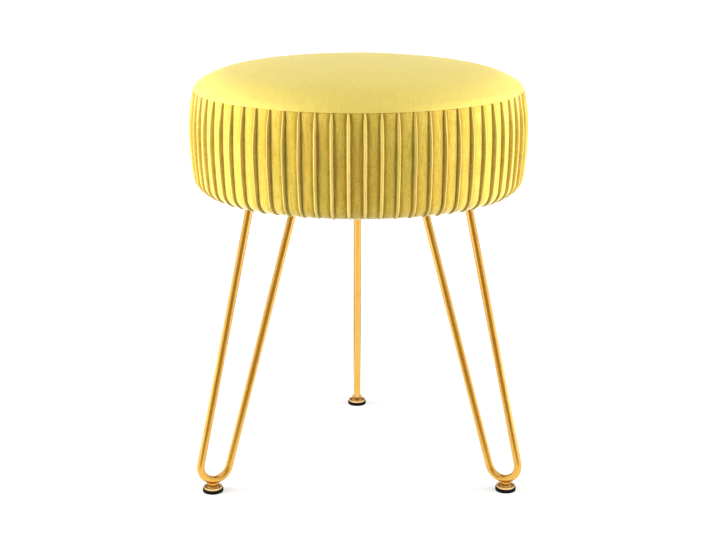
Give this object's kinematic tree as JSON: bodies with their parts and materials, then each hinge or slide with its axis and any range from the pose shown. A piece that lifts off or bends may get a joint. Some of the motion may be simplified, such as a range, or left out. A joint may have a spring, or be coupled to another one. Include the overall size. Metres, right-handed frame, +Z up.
{
  "type": "vanity stool",
  "caption": "Round upholstered vanity stool with a crowned top, a side band of standing tucks, and hairpin legs on screw-in levelling feet.",
  "frame": {"origin": "on the floor, at the centre of the circle through the three foot pads, under the middle of the seat", "axes": "+Z up; +Y towards the single back leg, so the two front legs stand on the -Y side; +X to the right seen from the front"},
  "size_m": [0.3498, 0.3679, 0.4364],
  "materials": {
    "velvet_top": "short pile velvet, yellow",
    "velvet_side": "short pile velvet, yellow, in standing tucks",
    "soft_foam": "soft polyurethane foam",
    "firm_foam": "firm polyurethane foam",
    "plywood": "birch plywood, raw",
    "black_cloth": "non-woven dust cloth",
    "staple_wire": "galvanised staple wire",
    "zinc_steel": "zinc plated",
    "bolt_steel": "black oxide",
    "gold_plate": "gold electroplate on steel",
    "gold_rod": "gold electroplate on steel, polished",
    "gold_disc": "gold electroplate on steel, polished",
    "black_rubber": "moulded rubber, matt"
  },
  "bodies": {
    "root": {"top_panel": "velvet_top", "pleated_band": "velvet_side", "crown_pad": "soft_foam", "foam_core": "firm_foam", "seat_board": "plywood", "dust_cover": "black_cloth", "staples": "staple_wire", "tee_nuts": "zinc_steel", "leg_bolts": "bolt_steel", "leg_plate_1": "gold_plate", "leg_rod_1": "gold_rod", "foot_boss_1": "gold_rod", "leg_plate_2": "gold_plate", "leg_rod_2": "gold_rod", "foot_boss_2": "gold_rod", "leg_plate_3": "gold_plate", "leg_rod_3": "gold_rod", "foot_boss_3": "gold_rod"},
    "foot_1_pad": {"foot_pad_1": "black_rubber"},
    "foot_1_screw": {"foot_stud_1": "gold_disc"},
    "foot_2_pad": {"foot_pad_2": "black_rubber"},
    "foot_2_screw": {"foot_stud_2": "gold_disc"},
    "foot_3_pad": {"foot_pad_3": "black_rubber"},
    "foot_3_screw": {"foot_stud_3": "gold_disc"}
  },
  "joints": [
    {"name": "foot_1_lift", "type": "slide", "parent": "root", "child": "foot_1_pad", "axis": [0, 0, -1], "range_m": [0, 0.004]},
    {"name": "foot_1_turn", "type": "hinge", "parent": "foot_1_pad", "child": "foot_1_screw", "pos_m": [0, 0.1757, 0], "axis": [0, 0, -1], "range_deg": [0, 1800]},
    {"name": "foot_2_lift", "type": "slide", "parent": "root", "child": "foot_2_pad", "axis": [0, 0, -1], "range_m": [0, 0.004]},
    {"name": "foot_2_turn", "type": "hinge", "parent": "foot_2_pad", "child": "foot_2_screw", "pos_m": [-0.15216, -0.08785, 0], "axis": [0, 0, -1], "range_deg": [0, 1800]},
    {"name": "foot_3_lift", "type": "slide", "parent": "root", "child": "foot_3_pad", "axis": [0, 0, -1], "range_m": [0, 0.004]},
    {"name": "foot_3_turn", "type": "hinge", "parent": "foot_3_pad", "child": "foot_3_screw", "pos_m": [0.15216, -0.08785, 0], "axis": [0, 0, -1], "range_deg": [0, 1800]}
  ],
  "couplings": [
    {"joint": "foot_1_lift", "follows": "foot_1_turn", "m_per_rad": 0.00012732},
    {"joint": "foot_2_lift", "follows": "foot_2_turn", "m_per_rad": 0.00012732},
    {"joint": "foot_3_lift", "follows": "foot_3_turn", "m_per_rad": 0.00012732}
  ]
}
